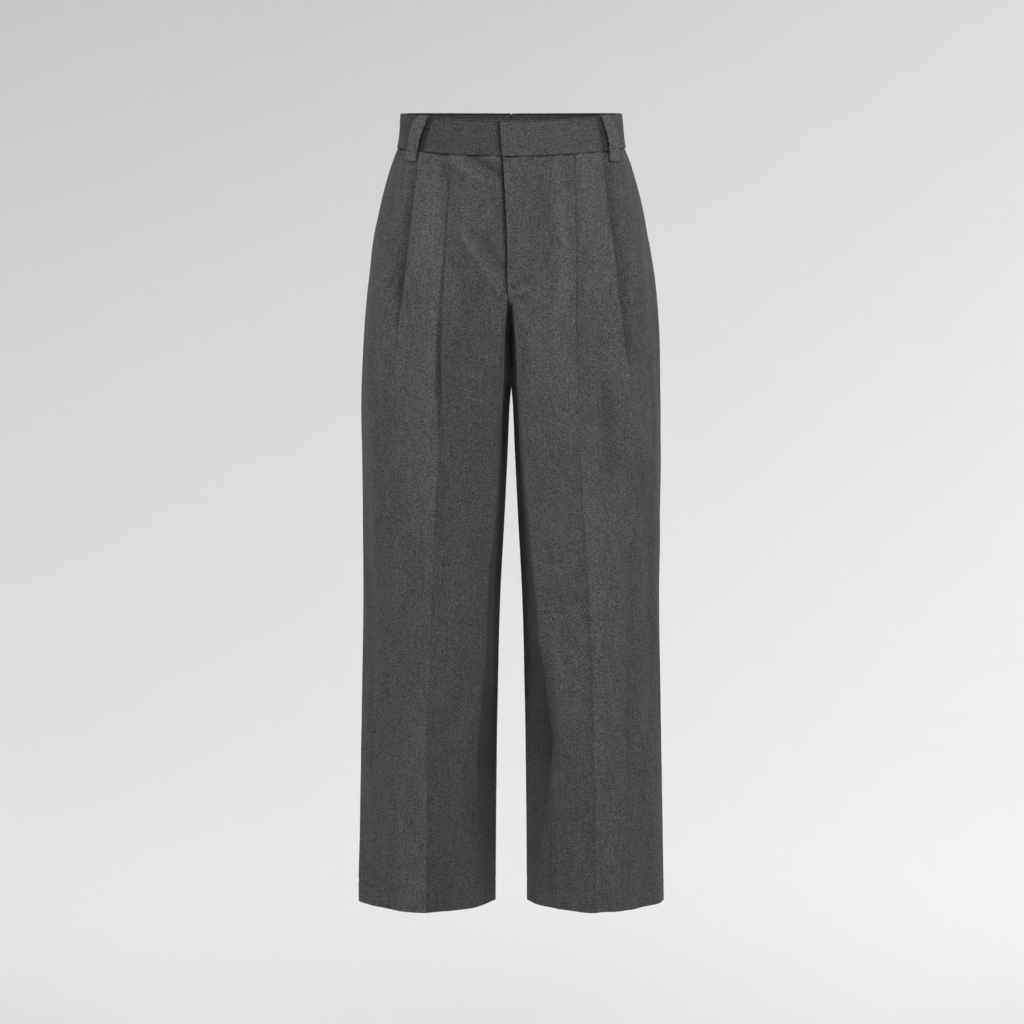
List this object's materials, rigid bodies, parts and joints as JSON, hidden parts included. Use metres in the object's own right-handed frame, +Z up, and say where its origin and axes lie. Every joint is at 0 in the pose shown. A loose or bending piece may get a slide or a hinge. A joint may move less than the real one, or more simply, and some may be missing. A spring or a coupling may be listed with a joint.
{
  "type": "pleated dress trousers",
  "caption": "Pleated wide-leg dress trousers in charcoal wool, held open in their worn shape, with fly front, slant side pockets, pressed creases and belt loops.",
  "frame": {"origin": "middle of the waist opening, level with the waistband's top edge at the sides", "axes": "+Z up the body, the front faces -Y, +X towards the wearer's left"},
  "size_m": [0.4106, 0.2412, 1.05],
  "materials": {
    "wool_cloth": "matt charcoal wool twill with a fine light and dark fleck",
    "waistband_cloth": "the same wool twill, doubled over interlining",
    "pocket_facing_cloth": "the same wool twill, in the shade of the pocket mouth"
  },
  "bodies": {
    "root": {"back_left": "wool_cloth", "back_right": "wool_cloth", "belt_loop_back_centre": "waistband_cloth", "belt_loop_back_left": "waistband_cloth", "belt_loop_back_right": "waistband_cloth", "belt_loop_front_left": "waistband_cloth", "belt_loop_front_right": "waistband_cloth", "front_left": "wool_cloth", "front_right": "wool_cloth", "pocket_facing_left": "pocket_facing_cloth", "pocket_facing_right": "pocket_facing_cloth", "waistband_left": "waistband_cloth", "waistband_right": "waistband_cloth"}
  },
  "joints": []
}
